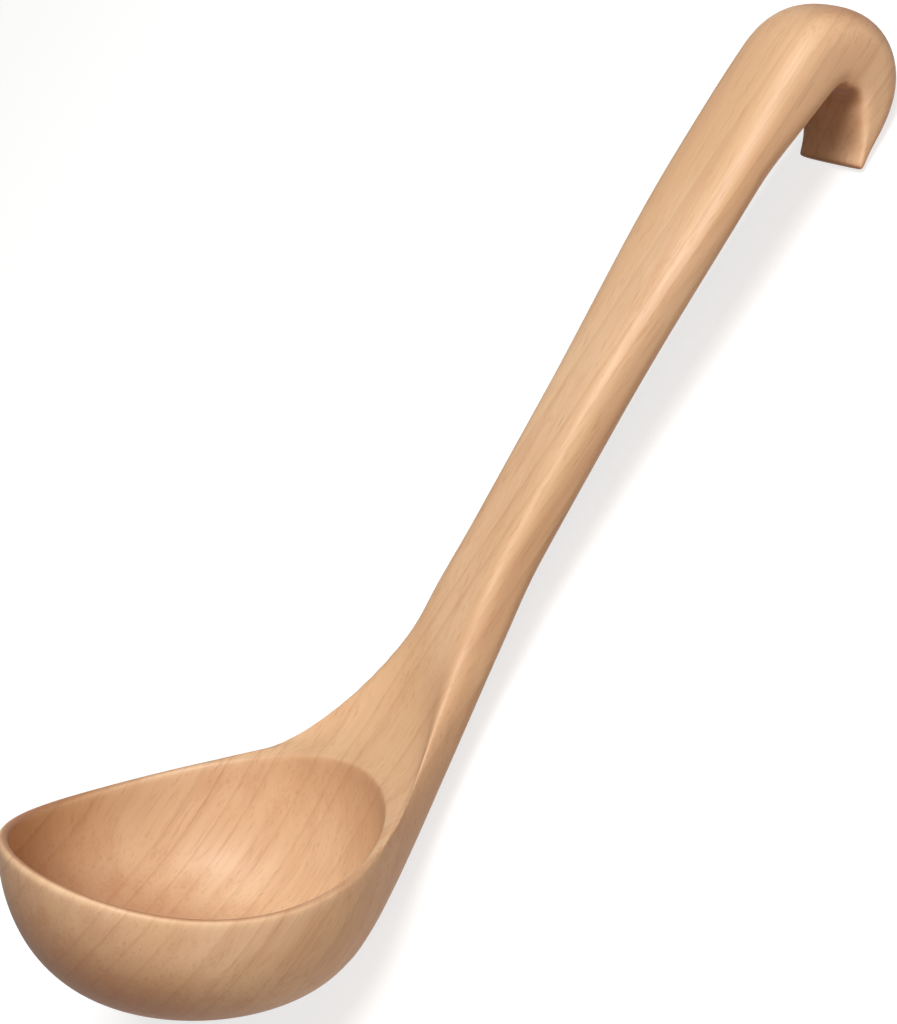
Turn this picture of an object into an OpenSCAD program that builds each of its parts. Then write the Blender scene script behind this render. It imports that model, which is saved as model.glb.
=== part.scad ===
// Wooden soup ladle, carved from one piece of pale hardwood: a deep round bowl,
// a flat-faced handle that flares into the bowl's rim, and a hook that curls back.
// It is shaped with the bowl level, then laid down on the bowl's underside and the
// tip of the hook, as it rests on a table. Millimetres and degrees.

/* [Bowl] */
// Radius of the bowl's mouth, inside the rim
mouth_r = 40.2; // [34:0.1:44]
// Thickness of the wall at the rim
rim_t = 2.6; // [1.8:0.1:4]
// Depth of the bowl outside, from the middle of the rim to the underside
bowl_depth = 32.5; // [30:0.5:40]
// How full the bowl is below its rim: 2 is an ellipsoid, more is fuller
bowl_full = 2.45; // [2:0.05:2.6]
// Thickness of the wood at the bottom of the bowl
floor_t = 4.5; // [3:0.5:7]
// Slope of the rim, rising towards the handle
rim_slope = 4; // [2:0.1:9]
// How far the rim curves up at its front and back
rim_rise = 7.8; // [4:0.1:10]

/* [Neck] */
// Half of the bowl's outside that the neck grows from, as an angle round the rim
neck_spread = 55; // [36:1:58]
// Where the neck leaves the bowl's outside, as an angle up from its underside
neck_root = 54; // [46:1:60]
// Slope at which the front of the neck leaves the rim
neck_lift = 34; // [20:1:50]
// How far the neck follows the bowl before it turns up the handle
neck_flare = 13.5; // [8:0.5:24]
// How far the handle's own direction reaches down into the neck
neck_pull = 14; // [14:0.5:34]
// Where the handle starts, behind the middle of the bowl
handle_x = 66; // [56:0.5:70]
// Where the handle starts, above the middle of the rim
handle_z = 39.5; // [28:0.5:44]

/* [Handle] */
// Slope of the handle where it starts
low_angle = 61; // [56:0.5:68]
// Slope of the handle at its waist, just above the neck
waist_angle = 56.5; // [52:0.5:64]
// Slope of the handle at its middle
mid_angle = 56.5; // [48:0.5:60]
// Slope of the handle before the hook
top_angle = 54; // [46:0.5:58]
// Length from the start of the handle to its waist
waist_len = 20; // [12:0.5:30]
// Length from the waist to the middle of the handle
low_len = 37; // [28:0.5:48]
// Length from the middle to the thick of the grip
top_len = 60.5; // [50:0.5:75]
// Length of the grip up to the hook
grip_len = 27; // [12:0.5:32]
// Width of the handle where it starts
low_w = 23.5; // [20:0.5:32]
// Width of the handle at its waist
waist_w = 20; // [18:0.5:30]
// Width of the handle at its middle
mid_w = 21; // [18:0.5:28]
// Width of the grip
grip_w = 27.5; // [24:0.5:34]
// Thickness of the handle where it starts
low_t = 12; // [9:0.5:15]
// Thickness of the handle at its waist
waist_t = 12; // [9:0.5:15]
// Thickness of the handle at its middle
mid_t = 12; // [9:0.5:15]
// Thickness of the grip
grip_t = 12; // [10:0.5:16]
// How square the front of the handle is at the neck: 2 is round, more is squarer
neck_square = 5.5; // [3:0.1:8]
// How square the front of the grip is
grip_square = 3.2; // [2.4:0.1:5]
// How square the back of the handle is
back_square = 3; // [2.4:0.1:5]

/* [Hook] */
// Length round the hook's bend, along the middle of the wood
bend_len = 33.5; // [28:0.5:44]
// Slope at the hook's crown, below level
crown_angle = 32; // [15:1:45]
// Slope of the hook's end, below level
tip_angle = 112; // [95:1:120]
// Length of the hook's straight end
tip_len = 11.5; // [6:0.5:18]
// Width of the hook at its crown
crown_w = 25; // [20:0.5:32]
// Thickness of the hook at its crown
crown_t = 18; // [13:0.5:21]
// Thickness of the hook where its bend ends
bend_t = 10; // [6:0.5:15]
// Width of the hook's tip
tip_w = 23; // [18:0.5:30]
// Thickness of the hook's tip
tip_t = 2.5; // [2:0.5:6]
// How square the outside of the hook is
hook_square = 2.7; // [2.3:0.1:4]
// How square the edges of the hook's mouth are
mouth_square = 8; // [4:0.5:12]

/* [Hidden] */

rim_r = mouth_r + rim_t;
hollow_depth = bowl_depth - floor_t;
edge_round = min(1, tip_t / 4);

// Counts of the surface's rows and columns
neck_cols = 12;
bowl_cols = 48;
low_rings = 8;
root_rings = 6;
rings = low_rings + root_rings;
lip_rings = 3;
neck_rings = 14;
spine_steps = 150;
grip_rings = 24;
hook_rings = 24;
handle_rings = grip_rings + hook_rings;
loop_n = 2 * (neck_cols + root_rings);
bisect_steps = 24;

function sum(v, n) = n == 0 ? 0 : v[n - 1] + sum(v, n - 1);
function unit(v) = v / norm(v);
function ease(t) = t * t * (3 - 2 * t);

// Angle round the bowl of each column; column 0 is the middle of the neck
function col_angle(c) =
    let (half = neck_cols / 2, k = c > bowl_cols / 2 ? c - bowl_cols : c)
    abs(k) <= half
        ? neck_spread * k / half
        : sign(k) * (neck_spread + (180 - neck_spread) * (abs(k) - half) / (bowl_cols / 2 - half));

// Angle up from the underside of each ring
function ring_angle(k) =
    k <= low_rings
        ? neck_root * k / low_rings
        : neck_root + (90 - neck_root) * (k - low_rings) / root_rings;

// Height of the rim over its own middle, at x
function rim_z(x) = x * tan(rim_slope) + rim_rise * pow(x / rim_r, 2);

// How much of the neck there is at an angle round the rim: it fades out past the neck
neck_fade = 14;
function neck_share(a) = ease(max(0, min(1, (neck_spread + neck_fade - abs(a)) / (2 * neck_fade))));

// A point of the bowl's wall: radius and depth of the wall, angle round, angle up
function wall(r, depth, a, up) =
    let (out = r * pow(sin(up), 2 / bowl_full))
    [
        out * cos(a),
        out * sin(a),
        -depth * pow(cos(up), 2 / bowl_full) + rim_z(rim_r * cos(a)) * pow(sin(up), 6)
    ];

function outer(a, up) = wall(rim_r, bowl_depth, a, up) + [0, 0, rim_t * tan(neck_lift) * neck_share(a) * pow(sin(up), 12)];
function inner(a, up) = wall(mouth_r, hollow_depth, a, up);

// The rounded lip, from the outside to the inside; at the neck it is the front's own slope
lip_in = [0.15, 0.5, 0.85];
lip_up = [0.36, 0.5, 0.36];
function lip(a, k) =
    let (share = neck_share(a), p = wall(rim_r, bowl_depth, a, 90))
    [
        (rim_r - lip_in[k] * rim_t) * cos(a),
        (rim_r - lip_in[k] * rim_t) * sin(a),
        p.z + rim_t * (lip_up[k] * (1 - share) + (1 - lip_in[k]) * tan(neck_lift) * share)
    ];

bowl_points = [
    for (k = [1:rings], c = [0:bowl_cols - 1]) outer(col_angle(c), ring_angle(k)),
    for (k = [0:lip_rings - 1], c = [0:bowl_cols - 1]) lip(col_angle(c), k),
    for (k = [rings:-1:1], c = [0:bowl_cols - 1]) inner(col_angle(c), ring_angle(k)),
    outer(0, 0),
    inner(0, 0)
];
bowl_loops = 2 * rings + lip_rings;
outer_pole = bowl_loops * bowl_cols;
inner_pole = outer_pole + 1;
function bowl_index(loop, c) = loop * bowl_cols + (c + bowl_cols) % bowl_cols;

// The opening in the bowl's outside that the neck grows from, once round:
// along the rim, down one side, back along the root and up the other side
half_cols = neck_cols / 2;
root_loop = [
    for (c = [-half_cols:half_cols]) [rings, c],
    for (k = [rings - 1:-1:low_rings + 1]) [k, half_cols],
    for (c = [half_cols:-1:-half_cols]) [low_rings, c],
    for (k = [low_rings + 1:rings - 1]) [k, -half_cols]
];

// The direction in which the neck leaves the bowl at a point of that opening: up the
// front at the rim, up the wall at the root, and along the wall towards both sides
function leave(k, c) =
    let (
        a = col_angle(c + (c < 0 ? bowl_cols : 0)),
        up = ring_angle(k),
        side = [abs(sin(a)), -sign(c) * cos(a), 0],
        rise = unit([cos(up) * cos(a), cos(up) * sin(a), sin(up) * bowl_depth / rim_r]),
        front = [cos(neck_lift), 0, sin(neck_lift)],
        sideways = k == rings || k == low_rings ? pow(abs(c) / half_cols, 2) : 1
    )
    unit((k == rings ? front : rise) * (1 - sideways) + side * sideways);

// Stations along the handle: length so far, slope, width, thickness, and how
// square its front and its back are
station = let (l = [0, waist_len, low_len, top_len, grip_len, bend_len / 2, bend_len / 2, tip_len])
    [
        [0, low_angle, low_w, low_t, neck_square, back_square],
        [sum(l, 2), waist_angle, waist_w, waist_t, neck_square, back_square],
        [sum(l, 3), mid_angle, mid_w, mid_t, (neck_square + grip_square) / 2, back_square],
        [sum(l, 4), top_angle, grip_w, grip_t, grip_square, back_square],
        [sum(l, 5), top_angle - 6, (grip_w + crown_w) / 2, (grip_t + crown_t) / 2, hook_square, mouth_square],
        [sum(l, 6), -crown_angle, crown_w, crown_t, hook_square, mouth_square],
        [sum(l, 7), 6 - tip_angle, (crown_w + tip_w) / 2, bend_t, hook_square, mouth_square],
        [sum(l, 8), -tip_angle, tip_w, tip_t, hook_square, mouth_square]
    ];
last = len(station) - 1;
spine_len = station[last][0];

// A smooth curve through one column of the stations, with no overshoot
function slope(i, col) =
    i == 0 || i == last
        ? 0
        : let (
            a = (station[i][col] - station[i - 1][col]) / (station[i][0] - station[i - 1][0]),
            b = (station[i + 1][col] - station[i][col]) / (station[i + 1][0] - station[i][0])
        ) a * b <= 0 ? 0 : 2 * a * b / (a + b);
function segment(s, i = 0) = i >= last - 1 || s < station[i + 1][0] ? i : segment(s, i + 1);
function along(s, col) =
    let (
        i = segment(s),
        h = station[i + 1][0] - station[i][0],
        t = (s - station[i][0]) / h,
        t2 = t * t,
        t3 = t2 * t
    )
    station[i][col] * (2 * t3 - 3 * t2 + 1) + station[i + 1][col] * (3 * t2 - 2 * t3)
        + h * (slope(i, col) * (t3 - 2 * t2 + t) + slope(i + 1, col) * (t3 - t2));

// The middle line of the handle, walked in short steps
step = spine_len / spine_steps;
spine = [
    for (
        i = 0, p = [handle_x, 0, handle_z];
        i <= spine_steps;
        a = along((i + 0.5) * step, 1), p = p + step * [cos(a), 0, sin(a)], i = i + 1
    ) p
];
function spine_at(s) =
    let (f = min(s / step, spine_steps - 0.001), i = floor(f))
    spine[i] + (f - i) * (spine[i + 1] - spine[i]);

// One outline across the handle, in the order of root_loop: a squared oval
function corner(n) = pow(0.5, 1 / n);
function oval(f, n) = pow(1 - pow(abs(f), n), 1 / n);
function flat_point(f, n, side) = [f * corner(n), side * oval(f * corner(n), n)];
function side_point(g, n, side) = [side * oval(g * corner(n), n), g * corner(n)];
function outline(q, front, back) =
    q <= neck_cols
        ? flat_point(2 * q / neck_cols - 1, front, 1)
        : q < neck_cols + root_rings
        ? let (g = 1 - 2 * (q - neck_cols) / root_rings) side_point(g, g > 0 ? front : back, 1)
        : q <= 2 * neck_cols + root_rings
        ? flat_point(1 - 2 * (q - neck_cols - root_rings) / neck_cols, back, -1)
        : let (g = 2 * (q - 2 * neck_cols - root_rings) / root_rings - 1)
            side_point(g, g > 0 ? front : back, -1);

function section(s, grow = 0, inset = 0) =
    let (
        p = spine_at(s),
        a = along(s, 1),
        w = along(s, 2) / 2 - inset,
        t = along(s, 3) / 2 - inset,
        front = along(s, 4),
        back = along(s, 5)
    )
    [
        for (q = [0:loop_n - 1])
            let (o = outline(q, front, back))
            p + [cos(a), 0, sin(a)] * grow + [0, 1, 0] * o[0] * w + [-sin(a), 0, cos(a)] * o[1] * t
    ];

// The neck: a curve from each point of the opening to the start of the handle
handle_start = section(0);
start_dir = [cos(low_angle), 0, sin(low_angle)];
function bezier(p, t) =
    let (u = 1 - t)
    p[0] * u * u * u + p[1] * 3 * u * u * t + p[2] * 3 * u * t * t + p[3] * t * t * t;
neck_curves = [
    for (q = [0:loop_n - 1])
        let (
            k = root_loop[q][0],
            c = root_loop[q][1],
            from = bowl_points[bowl_index(k - 1, c)]
        )
        [from, from + leave(k, c) * neck_flare, handle_start[q] - start_dir * neck_pull, handle_start[q]]
];
neck_points = [for (j = [1:neck_rings - 1]) for (curve = neck_curves) bezier(curve, j / neck_rings)];

// Rings lie closer together round the hook than along the handle
hook_start = station[4][0];
function ring_at(j) =
    j <= grip_rings
        ? hook_start * j / grip_rings
        : hook_start + (spine_len - hook_start) * (j - grip_rings) / hook_rings;
handle_points = [for (j = [0:handle_rings]) each section(ring_at(j))];
tip_points = section(spine_len, edge_round * 0.7, edge_round);

points = concat(bowl_points, neck_points, handle_points, tip_points);
first_ring = len(bowl_points);
last_ring = neck_rings + handle_rings + 1;
function ring_index(j, q) =
    j == 0
        ? bowl_index(root_loop[q % loop_n][0] - 1, root_loop[q % loop_n][1])
        : first_ring + (j - 1) * loop_n + q % loop_n;

function in_neck(loop, c) =
    let (k = c >= bowl_cols / 2 ? c - bowl_cols : c)
    loop >= low_rings - 1 && loop < rings - 1 && k >= -half_cols && k < half_cols;

faces = [
    for (c = [0:bowl_cols - 1]) [outer_pole, bowl_index(0, c), bowl_index(0, c + 1)],
    for (loop = [0:bowl_loops - 2], c = [0:bowl_cols - 1])
        if (!in_neck(loop, c))
            [
                bowl_index(loop, c),
                bowl_index(loop + 1, c),
                bowl_index(loop + 1, c + 1),
                bowl_index(loop, c + 1)
            ],
    for (c = [0:bowl_cols - 1]) [inner_pole, bowl_index(bowl_loops - 1, c + 1), bowl_index(bowl_loops - 1, c)],
    for (j = [0:last_ring - 1], q = [0:loop_n - 1])
        [ring_index(j, q), ring_index(j, q + 1), ring_index(j + 1, q + 1), ring_index(j + 1, q)],
    [for (q = [0:loop_n - 1]) ring_index(last_ring, q)]
];

// Laid down: turned about Y until the bowl and the hook's tip touch the table together
function turned(p, a) = [p.x * cos(a) + p.z * sin(a), p.y, -p.x * sin(a) + p.z * cos(a)];
function low_end(pts, a) = min([for (p = pts) turned(p, a).z]);
bowl_side = concat(bowl_points, neck_points);
hook_side = concat(tip_points, section(spine_len), section(spine_len - tip_len));
function lie(a, b, n) =
    let (m = (a + b) / 2)
    n == 0 ? m : low_end(bowl_side, m) < low_end(hook_side, m) ? lie(m, b, n - 1) : lie(a, m, n - 1);
rest_angle = lie(10, 80, bisect_steps);
laid = [for (p = points) turned(p, rest_angle)];
min_x = min([for (p = laid) p.x]);
max_x = max([for (p = laid) p.x]);
min_z = min([for (p = laid) p.z]);
rest_points = [for (p = laid) p - [(min_x + max_x) / 2, 0, min_z]];

module ladle() {
    color([0.87, 0.71, 0.55])
        polyhedron(points = rest_points, faces = faces, convexity = 8);
}

ladle();
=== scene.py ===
# %% [markdown]
# # A carved wooden soup ladle
# The ladle is one piece of pale hardwood, so this lesson has one long job instead of
# many short ones: take the measured solid, make its skin smooth, and give it a wood
# that runs through the whole block, so that every cut shows the grain it would really
# show. Lengths are in metres, and the ladle lies on its bowl and the tip of its hook.

# %% Load the measured solid
import math

import bpy
from mathutils import Euler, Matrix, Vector


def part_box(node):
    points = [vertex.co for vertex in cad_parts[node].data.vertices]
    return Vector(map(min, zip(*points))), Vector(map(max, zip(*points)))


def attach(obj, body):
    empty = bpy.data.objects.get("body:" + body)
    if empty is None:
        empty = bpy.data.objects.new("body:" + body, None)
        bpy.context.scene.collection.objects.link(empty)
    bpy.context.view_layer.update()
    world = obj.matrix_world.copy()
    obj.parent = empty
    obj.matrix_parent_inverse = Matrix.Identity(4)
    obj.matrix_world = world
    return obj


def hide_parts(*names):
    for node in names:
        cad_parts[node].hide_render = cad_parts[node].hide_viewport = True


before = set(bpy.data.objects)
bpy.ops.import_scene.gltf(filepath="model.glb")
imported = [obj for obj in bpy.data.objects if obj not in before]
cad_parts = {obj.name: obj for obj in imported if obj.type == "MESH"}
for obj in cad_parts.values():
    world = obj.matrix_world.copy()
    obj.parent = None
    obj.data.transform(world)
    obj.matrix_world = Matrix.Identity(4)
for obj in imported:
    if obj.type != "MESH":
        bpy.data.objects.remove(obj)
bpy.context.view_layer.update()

NODE = "ladle"
scene = bpy.context.scene
low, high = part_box(NODE)

# %% [markdown]
# ## The camera
# The photograph looks down at the ladle from its left side, with the camera rolled so
# that the handle climbs to the upper right. A long lens from over half a metre away
# gives the mild perspective that makes the bowl a little larger than the hook. The
# numbers are the camera's own place, its turn and its lens, and nothing is shifted.

# %% Camera
CAMERA_PLACE = Vector((-0.0726, -0.5229, 0.3727))
CAMERA_TURN = (43.625, 41.732, -41.904)
LENS_MM = 100.56
SENSOR_MM = 36
CLIP_NEAR = 0.02
CLIP_FAR = 20

camera_data = bpy.data.cameras.new("camera")
camera_data.lens = LENS_MM
camera_data.sensor_width = SENSOR_MM
camera_data.clip_start = CLIP_NEAR
camera_data.clip_end = CLIP_FAR
camera = bpy.data.objects.new("camera", camera_data)
camera.location = CAMERA_PLACE
camera.rotation_euler = Euler([math.radians(a) for a in CAMERA_TURN], "XYZ")
scene.collection.objects.link(camera)
scene.camera = camera

# %% [markdown]
# ## The carved body
# A ladle like this is sawn to shape, hollowed with a cutter and sanded until no edge
# or facet is left. It could be modelled again from a primitive, but the measured solid
# already has the true curves, and a second model would only drift from it. So its mesh
# is copied, the loose triangles are joined and paired into four-sided faces, and a
# Subdivision Surface does what the sandpaper does: it rounds what lies between the
# measured points and leaves the shape where it is.

# %% Copy the solid and join it into one skin
MERGE = 0.00001
PAIR_BEND = math.radians(60)
PAIR_SKEW = math.radians(80)


def select_only(piece):
    bpy.ops.object.select_all(action="DESELECT")
    piece.select_set(True)
    bpy.context.view_layer.objects.active = piece


def copy_of_node(node, name):
    source = bpy.data.objects[node]
    piece = bpy.data.objects.new(name, source.data.copy())
    piece.data.name = name
    scene.collection.objects.link(piece)
    piece.data.materials.clear()
    return piece


body = copy_of_node(NODE, "carved_ladle")
select_only(body)
bpy.ops.object.mode_set(mode="EDIT")
bpy.ops.mesh.select_all(action="SELECT")
bpy.ops.mesh.remove_doubles(threshold=MERGE)
bpy.ops.mesh.tris_convert_to_quads(face_threshold=PAIR_BEND, shape_threshold=PAIR_SKEW)
bpy.ops.object.mode_set(mode="OBJECT")
four_sided = sum(len(face.vertices) == 4 for face in body.data.polygons)
print("joined skin:", len(body.data.polygons), "faces,", four_sided, "of them four-sided")

# %% Sand it smooth
SUBDIVISIONS = 2

sanding = body.modifiers.new("sanded", "SUBSURF")
sanding.levels = SUBDIVISIONS
sanding.render_levels = SUBDIVISIONS
bpy.ops.object.modifier_apply(modifier=sanding.name)
bpy.ops.object.shade_smooth()
print("sanded skin:", len(body.data.polygons), "faces")

# %% [markdown]
# ## The wood
# Real grain isn't painted on: it is where the surface cuts the tree's rings and fibres.
# So the pattern is built in the block's own space and the surface only shows it. The
# fibres run along the ladle, which is how a carver saws the blank, because a handle
# across the grain would snap. Three effects make the wood, and each is a node group:
# growth rings, fibres and end grain. The helpers below add one node each, so that a
# group reads like a sum.

# %% Helpers for node groups
NOISE_MIDDLE = (0.5, 0.5, 0.5)


def new_group(name, entry, entry_kind, results):
    """An empty node group with one input and the named results, which are all numbers."""
    group = bpy.data.node_groups.new(name, "ShaderNodeTree")
    group.interface.new_socket(entry, in_out="INPUT", socket_type=entry_kind)
    for label in results:
        group.interface.new_socket(label, in_out="OUTPUT", socket_type="NodeSocketFloat")
    start = group.nodes.new("NodeGroupInput")
    end = group.nodes.new("NodeGroupOutput")
    return group, start.outputs[entry], end


def math_node(tree, operation, a, b=None):
    node = tree.nodes.new("ShaderNodeMath")
    node.operation = operation
    for socket, value in zip(node.inputs, (a, b)):
        if isinstance(value, (int, float)):
            socket.default_value = value
        elif value is not None:
            tree.links.new(value, socket)
    return node.outputs[0]


def vector_node(tree, operation, a, b=None, scale=None):
    node = tree.nodes.new("ShaderNodeVectorMath")
    node.operation = operation
    for socket, value in zip(node.inputs, (a, b)):
        if isinstance(value, tuple):
            socket.default_value = value
        elif value is not None:
            tree.links.new(value, socket)
    if scale is not None:
        node.inputs["Scale"].default_value = scale
    return node.outputs["Value" if operation in ("DOT_PRODUCT", "LENGTH") else "Vector"]


def noise_node(tree, place, waves, detail=2.0, rough=0.5, colour=False):
    """Noise in space, with so many waves to the metre along each axis."""
    node = tree.nodes.new("ShaderNodeTexNoise")
    node.inputs["Scale"].default_value = 1.0
    node.inputs["Detail"].default_value = detail
    node.inputs["Roughness"].default_value = rough
    tree.links.new(vector_node(tree, "MULTIPLY", place, waves), node.inputs["Vector"])
    return node.outputs["Color" if colour else "Fac"]


def line_noise_node(tree, along, scale, detail=2.0):
    """Noise along one number, such as a count of years."""
    node = tree.nodes.new("ShaderNodeTexNoise")
    node.noise_dimensions = "1D"
    node.inputs["Scale"].default_value = scale
    node.inputs["Detail"].default_value = detail
    tree.links.new(along, node.inputs["W"])
    return node.outputs["Fac"]


def wandering(tree, place, waves, reach, detail=2.0):
    """The place, pushed about by soft noise by up to half of reach."""
    noise = noise_node(tree, place, waves, detail=detail, colour=True)
    centred = vector_node(tree, "SUBTRACT", noise, NOISE_MIDDLE)
    return vector_node(tree, "ADD", place, vector_node(tree, "SCALE", centred, scale=reach))


def range_node(tree, value, span, to=(0.0, 1.0), kind="SMOOTHSTEP"):
    """The value turned from one range of numbers into another, and held at its ends."""
    node = tree.nodes.new("ShaderNodeMapRange")
    node.interpolation_type = kind
    tree.links.new(value, node.inputs["Value"])
    node.inputs["From Min"].default_value = span[0]
    node.inputs["From Max"].default_value = span[1]
    node.inputs["To Min"].default_value = to[0]
    node.inputs["To Max"].default_value = to[1]
    return node.outputs["Result"]


# %% [markdown]
# ## Growth rings
# A tree adds a ring each year: pale wood in spring, and a thin dark line of late wood
# at its end. The distance from the pith, counted in rings, gives both. Where the
# surface lies flat on a ring, it shows as a bullseye, and the photograph has none, in
# the hollow or outside. So the pith is put where both of those places are out of sight,
# and the bowl is crossed by slanting lines, as in the photograph.

# %% Growth rings
# The pith lies beside and under the blank, so the rings cross it as leaning sheets
PITH = (0.0, -0.090, -0.100)
RING_WIDTH = 0.0046
# Along the trunk a ring is a long spindle, so the place along it counts for little
SPINDLE = (0.09, 1.0, 1.0)
RING_WANDER = 0.0035
RING_WAVES = (5.0, 22.0, 22.0)
# Good and bad years: how quickly they follow each other, and how far they shift a ring
YEAR_CHANGE = 0.55
YEAR_SHIFT = 1.6
# The dark line rises steeply towards the end of its year, and then stops short
LATE_SHARPNESS = 7.0
LATE_STOP = (0.955, 1.0)
# How quickly strong and faint lines follow each other
STRENGTH_CHANGE = 0.35


def rings_group():
    tree, place, end = new_group(
        "growth rings", "Vector", "NodeSocketVector", ("Late wood", "Band")
    )
    bent = wandering(tree, place, RING_WAVES, RING_WANDER, detail=2.5)
    from_pith = vector_node(tree, "SUBTRACT", bent, PITH)
    across = vector_node(tree, "MULTIPLY", from_pith, SPINDLE)
    count = math_node(tree, "DIVIDE", vector_node(tree, "LENGTH", across), RING_WIDTH)
    years = line_noise_node(tree, count, YEAR_CHANGE, detail=1.0)
    count = math_node(tree, "ADD", count, math_node(tree, "MULTIPLY", years, YEAR_SHIFT))
    part = math_node(tree, "FRACT", count)
    rise = math_node(tree, "POWER", part, LATE_SHARPNESS)
    fall = range_node(tree, part, LATE_STOP, (1.0, 0.0))
    tree.links.new(math_node(tree, "MULTIPLY", rise, fall), end.inputs["Late wood"])
    tree.links.new(line_noise_node(tree, count, STRENGTH_CHANGE), end.inputs["Band"])
    return tree


rings = rings_group()

# %% [markdown]
# ## Fibres and flecks
# Between the rings, wood is a bundle of long thin tubes. Noise that is stretched along
# the block gives all of it, at four sizes: hair-fine fibres, which the bump follows
# too, streaks a few millimetres wide, short dark flecks where rays are cut, and broad
# clouds, where one part of the block is paler than the next.

# %% Fibres and flecks
FIBRE_WAVES = (34.0, 1500.0, 1500.0)
STREAK_WAVES = (9.0, 230.0, 230.0)
FLECK_WAVES = (150.0, 1100.0, 1100.0)
CLOUD_WAVES = (14.0, 34.0, 34.0)
FIBRE_WANDER = 0.003
BEND_WAVES = (12.0, 30.0, 30.0)
# Only the highest peaks of the noise are flecks
FLECK_PEAKS = (0.64, 0.74)


def fibres_group():
    tree, place, end = new_group(
        "fibres", "Vector", "NodeSocketVector", ("Fibre", "Streak", "Fleck", "Cloud")
    )
    bent = wandering(tree, place, BEND_WAVES, FIBRE_WANDER)
    fibre = noise_node(tree, bent, FIBRE_WAVES, detail=3.0, rough=0.6)
    streak = noise_node(tree, bent, STREAK_WAVES, detail=4.0, rough=0.6)
    fleck = noise_node(tree, bent, FLECK_WAVES, detail=1.0)
    cloud = noise_node(tree, place, CLOUD_WAVES)
    tree.links.new(fibre, end.inputs["Fibre"])
    tree.links.new(streak, end.inputs["Streak"])
    tree.links.new(range_node(tree, fleck, FLECK_PEAKS), end.inputs["Fleck"])
    tree.links.new(cloud, end.inputs["Cloud"])
    return tree


fibres = fibres_group()

# %% [markdown]
# ## End grain
# Where the surface cuts straight across the fibres, as in the hollow's front and back,
# the open tubes drink in light and look darker and redder. How far the surface faces
# along the grain says how much of that there is.

# %% End grain
GRAIN_WAY = (1.0, 0.0, 0.0)
END_FACING = (0.35, 1.0)


def end_grain_group():
    tree, normal, end = new_group("end grain", "Normal", "NodeSocketVector", ("End",))
    along = vector_node(tree, "DOT_PRODUCT", normal, GRAIN_WAY)
    facing = math_node(tree, "ABSOLUTE", along)
    tree.links.new(range_node(tree, facing, END_FACING), end.inputs["End"])
    return tree


end_grain = end_grain_group()

# %% [markdown]
# ## Mixing the wood's colour
# Pale maple and beech change little from ring to ring, so the colour starts from one
# warm tan and each effect moves it a short way: clouds and streaks make it lighter or
# pinker, late wood draws thin brown lines, flecks add short dark dashes, and end grain
# turns it redder. The surface is sanded and lightly oiled, which is a broad, weak
# gloss, a little rougher where fibres are cut across.

# %% Wood material
EARLY = (0.735, 0.460, 0.262, 1)
PALE = (0.800, 0.540, 0.335, 1)
PINK = (0.690, 0.410, 0.240, 1)
LATE = (0.440, 0.215, 0.095, 1)
END = (0.360, 0.135, 0.055, 1)

# The part of each pattern over which its effect grows
CLOUD_SPAN = (0.35, 0.65)
STREAK_SPAN = (0.42, 0.72)
BAND_SPAN = (0.3, 0.7)
THREAD_SPAN = (0.5, 0.78)
GLOSS_SPAN = (0.3, 0.7)

# The least and the most of each effect
STREAK_AMOUNT = (0.0, 0.75)
BAND_AMOUNT = (0.08, 0.50)
THREAD_AMOUNT = (0.0, 0.30)
FLECK_AMOUNT = 0.22
END_AMOUNT = 0.80

ROUGHNESS = (0.44, 0.54)
END_ROUGHER = 0.08
SPECULAR = 0.42
BUMP_STRENGTH = 0.35
BUMP_HEIGHT = 0.00012


def mix_colour(tree, amount, a, b):
    node = tree.nodes.new("ShaderNodeMix")
    node.data_type = "RGBA"
    for label, value in (("Factor_Float", amount), ("A_Color", a), ("B_Color", b)):
        socket = next(s for s in node.inputs if s.identifier == label)
        if isinstance(value, tuple):
            socket.default_value = value
        else:
            tree.links.new(value, socket)
    return next(s for s in node.outputs if s.identifier == "Result_Color")


def group_node(tree, group, socket, value):
    node = tree.nodes.new("ShaderNodeGroup")
    node.node_tree = group
    tree.links.new(value, node.inputs[socket])
    return node.outputs


def wood_colour(tree, ring, fibre, ends):
    cloud = range_node(tree, fibre["Cloud"], CLOUD_SPAN)
    colour = mix_colour(tree, cloud, EARLY, PALE)
    streak = range_node(tree, fibre["Streak"], STREAK_SPAN, STREAK_AMOUNT)
    colour = mix_colour(tree, streak, colour, PINK)
    band = range_node(tree, ring["Band"], BAND_SPAN, BAND_AMOUNT)
    late = math_node(tree, "MULTIPLY", ring["Late wood"], band)
    colour = mix_colour(tree, late, colour, LATE)
    thread = range_node(tree, fibre["Fibre"], THREAD_SPAN, THREAD_AMOUNT)
    colour = mix_colour(tree, thread, colour, LATE)
    fleck = math_node(tree, "MULTIPLY", fibre["Fleck"], FLECK_AMOUNT)
    colour = mix_colour(tree, fleck, colour, LATE)
    cut = math_node(tree, "MULTIPLY", ends["End"], END_AMOUNT)
    return mix_colour(tree, cut, colour, END)


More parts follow.
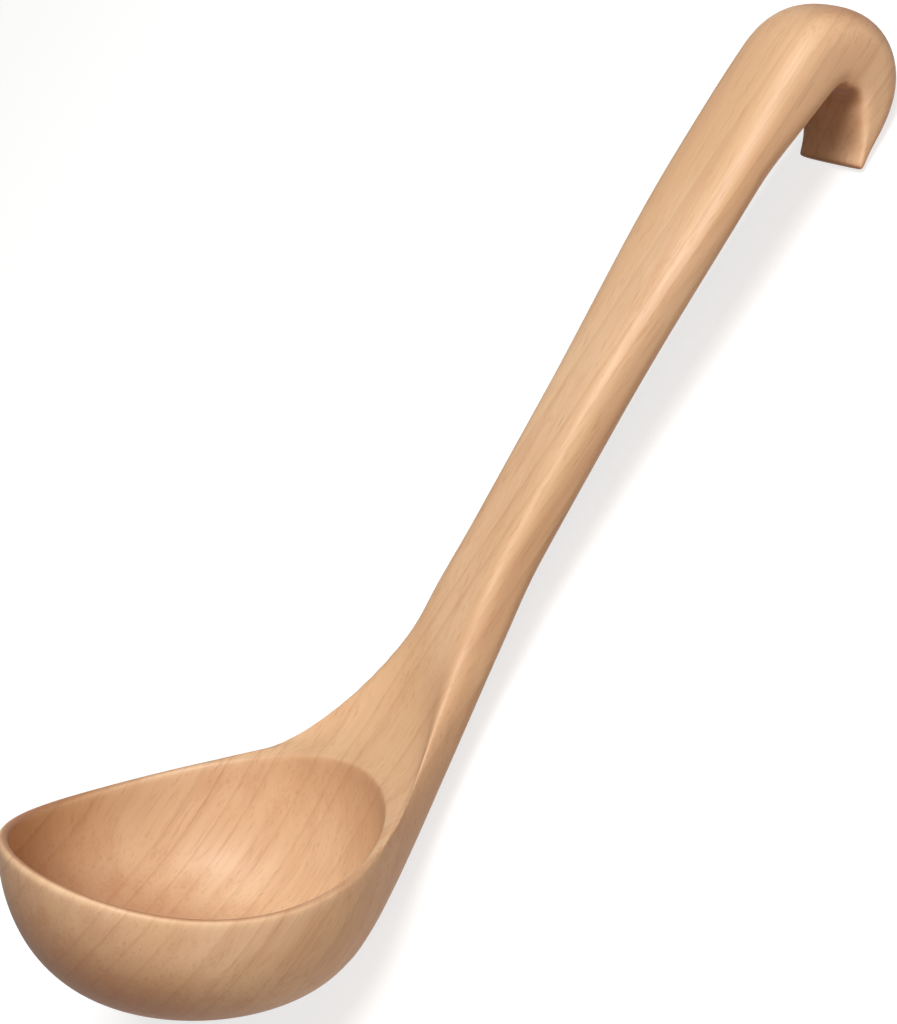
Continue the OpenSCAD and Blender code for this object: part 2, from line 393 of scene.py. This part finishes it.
def wood_material():
    material = bpy.data.materials.new("sanded pale hardwood")
    material.use_nodes = True
    tree = material.node_tree
    shader = tree.nodes["Principled BSDF"]
    place = tree.nodes.new("ShaderNodeTexCoord")
    ring = group_node(tree, rings, "Vector", place.outputs["Object"])
    fibre = group_node(tree, fibres, "Vector", place.outputs["Object"])
    ends = group_node(tree, end_grain, "Normal", place.outputs["Normal"])
    tree.links.new(wood_colour(tree, ring, fibre, ends), shader.inputs["Base Color"])

    rough = range_node(tree, fibre["Fibre"], GLOSS_SPAN, ROUGHNESS, kind="LINEAR")
    rougher = math_node(tree, "MULTIPLY", ends["End"], END_ROUGHER)
    tree.links.new(math_node(tree, "ADD", rough, rougher), shader.inputs["Roughness"])
    shader.inputs["Specular IOR Level"].default_value = SPECULAR

    bump = tree.nodes.new("ShaderNodeBump")
    bump.inputs["Strength"].default_value = BUMP_STRENGTH
    bump.inputs["Distance"].default_value = BUMP_HEIGHT
    tree.links.new(fibre["Fibre"], bump.inputs["Height"])
    tree.links.new(bump.outputs["Normal"], shader.inputs["Normal"])
    return material


body.data.materials.append(wood_material())
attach(body, "root")
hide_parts(NODE)
print("wood has", len(body.active_material.node_tree.nodes), "nodes")

# %% [markdown]
# ## The lamps
# The photograph is a cut-out on white, lit softly from above, and the underside of the
# bowl is left dark. One large lamp high over the ladle, a little towards the hook and
# the viewer, gives that, and a weak warm one at the front opens the near side of the
# bowl.

# %% Lamps
LAMP_WIDTH = 0.6
KEY_PLACE = Vector((0.26, -0.40, 1.0))
KEY_WATTS = 12.8
KEY_COLOUR = (1.0, 0.985, 0.965)
FRONT_PLACE = Vector((-0.45, -0.95, 0.55))
FRONT_WATTS = 3.2
FRONT_COLOUR = (1.0, 0.92, 0.85)


def area_lamp(name, place, aim, watts, colour):
    data = bpy.data.lights.new(name, "AREA")
    data.shape = "DISK"
    data.size = LAMP_WIDTH
    data.energy = watts
    data.color = colour
    lamp = bpy.data.objects.new(name, data)
    lamp.location = place
    lamp.rotation_euler = (aim - place).to_track_quat("-Z", "Y").to_euler()
    scene.collection.objects.link(lamp)


middle = (low + high) / 2
area_lamp("key", KEY_PLACE, middle, KEY_WATTS, KEY_COLOUR)
area_lamp("front", FRONT_PLACE, middle, FRONT_WATTS, FRONT_COLOUR)

# %% [markdown]
# ## Sky and floor
# A white room would light the ladle from all sides and wash its shadows out. So the sky
# is white only to rays that show it, from the camera or from a gloss, and dim to those
# that carry its light. The floor does the same: it shows white, but it bounces light
# like a warm mid tone, so it doesn't flood the ladle's underside. What it shows
# is part glow and part lit surface, and so it keeps the ladle's shadow.

# %% Sky
SKY_LIGHT = 0.34
SKY_SHOWN = 1.0


def shows(tree):
    """1 for rays from the camera, from a gloss or through glass, and 0 for the rest."""
    path = tree.nodes.new("ShaderNodeLightPath").outputs
    seen = math_node(tree, "MAXIMUM", path["Is Camera Ray"], path["Is Glossy Ray"])
    return math_node(tree, "MAXIMUM", seen, path["Is Transmission Ray"])


world = bpy.data.worlds.new("studio")
scene.world = world
world.use_nodes = True
sky = world.node_tree.nodes["Background"]
level = range_node(
    world.node_tree, shows(world.node_tree), (0.0, 1.0), (SKY_LIGHT, SKY_SHOWN), kind="LINEAR"
)
world.node_tree.links.new(level, sky.inputs["Strength"])

# %% Floor
FLOOR_SIZE = 6
FLOOR_GAP = 0.0002
FLOOR_BOUNCE = (0.34, 0.24, 0.16, 1)
FLOOR_LIT = (0.42, 0.42, 0.42, 1)
FLOOR_GLOW = 0.74

bpy.ops.mesh.primitive_plane_add(size=FLOOR_SIZE, location=(0, 0, low.z - FLOOR_GAP))
floor = bpy.context.object
floor.name = "floor"
bpy.ops.object.transform_apply(location=True, rotation=True, scale=True)


def floor_material():
    material = bpy.data.materials.new("studio floor")
    material.use_nodes = True
    tree = material.node_tree
    tree.nodes.remove(tree.nodes["Principled BSDF"])
    bounce = tree.nodes.new("ShaderNodeBsdfDiffuse")
    bounce.inputs["Color"].default_value = FLOOR_BOUNCE
    lit = tree.nodes.new("ShaderNodeBsdfDiffuse")
    lit.inputs["Color"].default_value = FLOOR_LIT
    glow = tree.nodes.new("ShaderNodeEmission")
    glow.inputs["Strength"].default_value = FLOOR_GLOW
    shown = tree.nodes.new("ShaderNodeAddShader")
    tree.links.new(lit.outputs["BSDF"], shown.inputs[0])
    tree.links.new(glow.outputs["Emission"], shown.inputs[1])
    choice = tree.nodes.new("ShaderNodeMixShader")
    tree.links.new(shows(tree), choice.inputs["Fac"])
    tree.links.new(bounce.outputs["BSDF"], choice.inputs[1])
    tree.links.new(shown.outputs["Shader"], choice.inputs[2])
    output = tree.nodes["Material Output"]
    tree.links.new(choice.outputs["Shader"], output.inputs["Surface"])
    return material


floor.data.materials.append(floor_material())

# %% [markdown]
# ## Colour handling and the finish
# The Standard view shows a colour about as it is written, which keeps the wood honest
# under other lights too.

# %% Finish
scene.view_settings.view_transform = "Standard"
